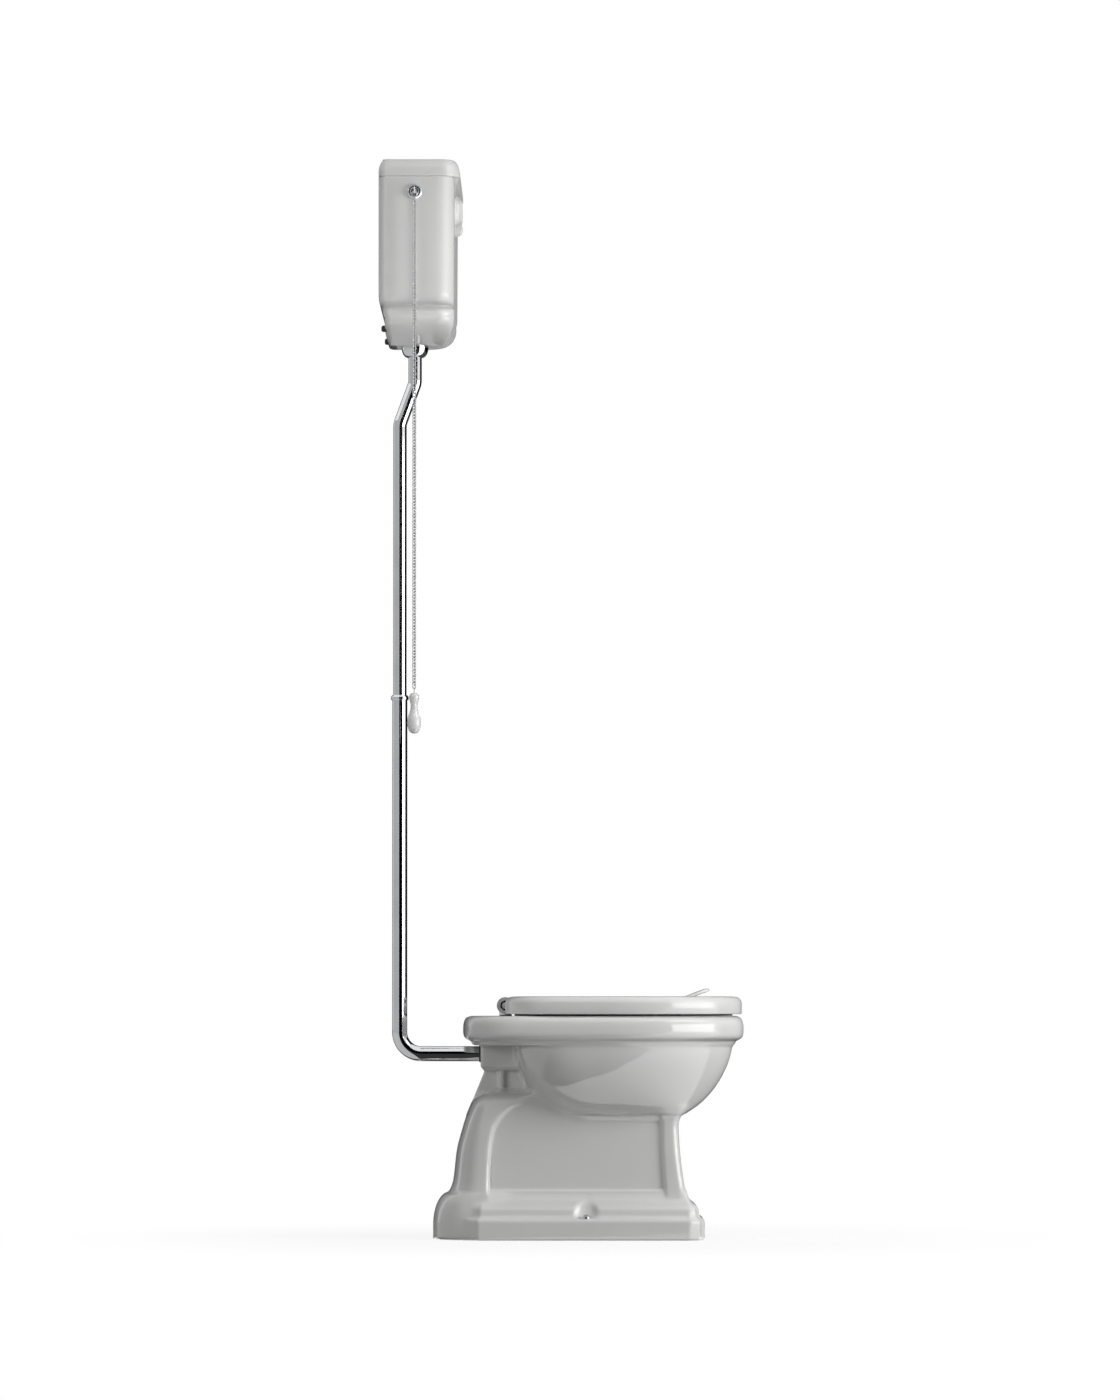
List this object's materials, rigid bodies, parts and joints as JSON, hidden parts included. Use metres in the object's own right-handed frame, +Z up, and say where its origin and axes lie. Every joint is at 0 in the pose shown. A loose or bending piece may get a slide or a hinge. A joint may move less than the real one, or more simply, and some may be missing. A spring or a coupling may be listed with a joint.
{
  "type": "high tank pull chain toilet",
  "caption": "High-level cistern on a wall, joined by a long flush pipe to a pedestal pan with a hinged seat and lid, flushed by a hanging pull chain.",
  "frame": {"origin": "middle of the line where the wall meets the floor, on the toilet's plane of symmetry", "axes": "+X out of the wall towards the front of the bowl, +Y to the side of the water inlet, +Z up"},
  "size_m": [0.67, 0.483, 1.972],
  "materials": {
    "china": "glossy white glazed vitreous china",
    "handle": "glossy white glazed china",
    "seat": "glossy white",
    "chrome": "polished",
    "brass": "satin",
    "copper": "satin copper",
    "rubber": "matt black",
    "plastic": "satin white"
  },
  "bodies": {
    "toilet": {"pan": "china", "floor_screws": "chrome", "floor_screw_caps": "chrome", "hinge_pin": "chrome", "hinge_pin_caps": "chrome", "hinge_posts": "chrome", "hinge_gaskets": "rubber", "hinge_washers": "rubber", "hinge_wing_nuts": "plastic", "cistern_tank": "china", "wall_bumpers": "rubber", "wall_hole_sleeves": "rubber", "waste_sleeve": "rubber", "outlet_escutcheon": "chrome", "outlet_washer": "rubber", "outlet_locknut": "brass", "flush_pipe_upper": "chrome", "flush_pipe_lower": "chrome", "joint_collar": "chrome", "joint_seal": "rubber", "inlet_cone": "rubber", "flush_valve_seat": "brass", "overflow_tube": "plastic", "stem_guide": "plastic", "lever_bush": "chrome", "lever_bush_nut": "brass", "lever_pivot_pin": "brass", "fill_valve": "plastic", "fill_valve_washer": "rubber", "fill_valve_locknut": "brass", "float_pivot_pin": "brass"},
    "seat": {"seat_ring": "seat", "seat_hinge_arms": "chrome", "seat_buffers": "rubber"},
    "lid": {"seat_lid": "seat", "lid_hinge_arms": "chrome", "lid_buffers": "rubber"},
    "cistern_lid": {"cistern_lid": "china"},
    "pull": {"chain_hook": "chrome", "pull_chain": "chrome", "handle_eye": "chrome", "pull_handle": "handle"},
    "lever": {"flush_lever": "chrome"},
    "valve": {"flush_valve_disc": "rubber", "flush_valve_stem": "brass", "lift_link": "brass"},
    "float": {"float_arm": "brass", "float_ball": "copper"}
  },
  "joints": [
    {"name": "seat_hinge", "type": "hinge", "parent": "toilet", "child": "seat", "pos_m": [0.23, 0, 0.43], "axis": [0, -1, 0], "range_deg": [0, 96]},
    {"name": "lid_hinge", "type": "hinge", "parent": "seat", "child": "lid", "pos_m": [0.23, 0, 0.43], "axis": [0, 1, 0], "range_deg": [-103, 0]},
    {"name": "cistern_lid_lift", "type": "slide", "parent": "toilet", "child": "cistern_lid", "axis": [0, 0, 1], "range_m": [0, 0.06]},
    {"name": "valve_lift", "type": "slide", "parent": "toilet", "child": "valve", "axis": [0, 0, 1], "range_m": [0, 0.0445]},
    {"name": "pull_slide", "type": "slide", "parent": "toilet", "child": "pull", "axis": [0, 0, -1], "range_m": [0, 0.01]},
    {"name": "lever_rock", "type": "hinge", "parent": "toilet", "child": "lever", "pos_m": [0.066, -0.203, 1.911], "axis": [1, 0, 0], "range_deg": [0, 13.7]},
    {"name": "float_swing", "type": "hinge", "parent": "toilet", "child": "float", "pos_m": [0.07, 0.149, 1.902], "axis": [-1, 0, 0], "range_deg": [0, 33]}
  ],
  "couplings": [
    {"joint": "pull_slide", "follows": "valve_lift", "ratio": 0.2246},
    {"joint": "lever_rock", "follows": "valve_lift", "rad_per_m": 5.3476}
  ]
}
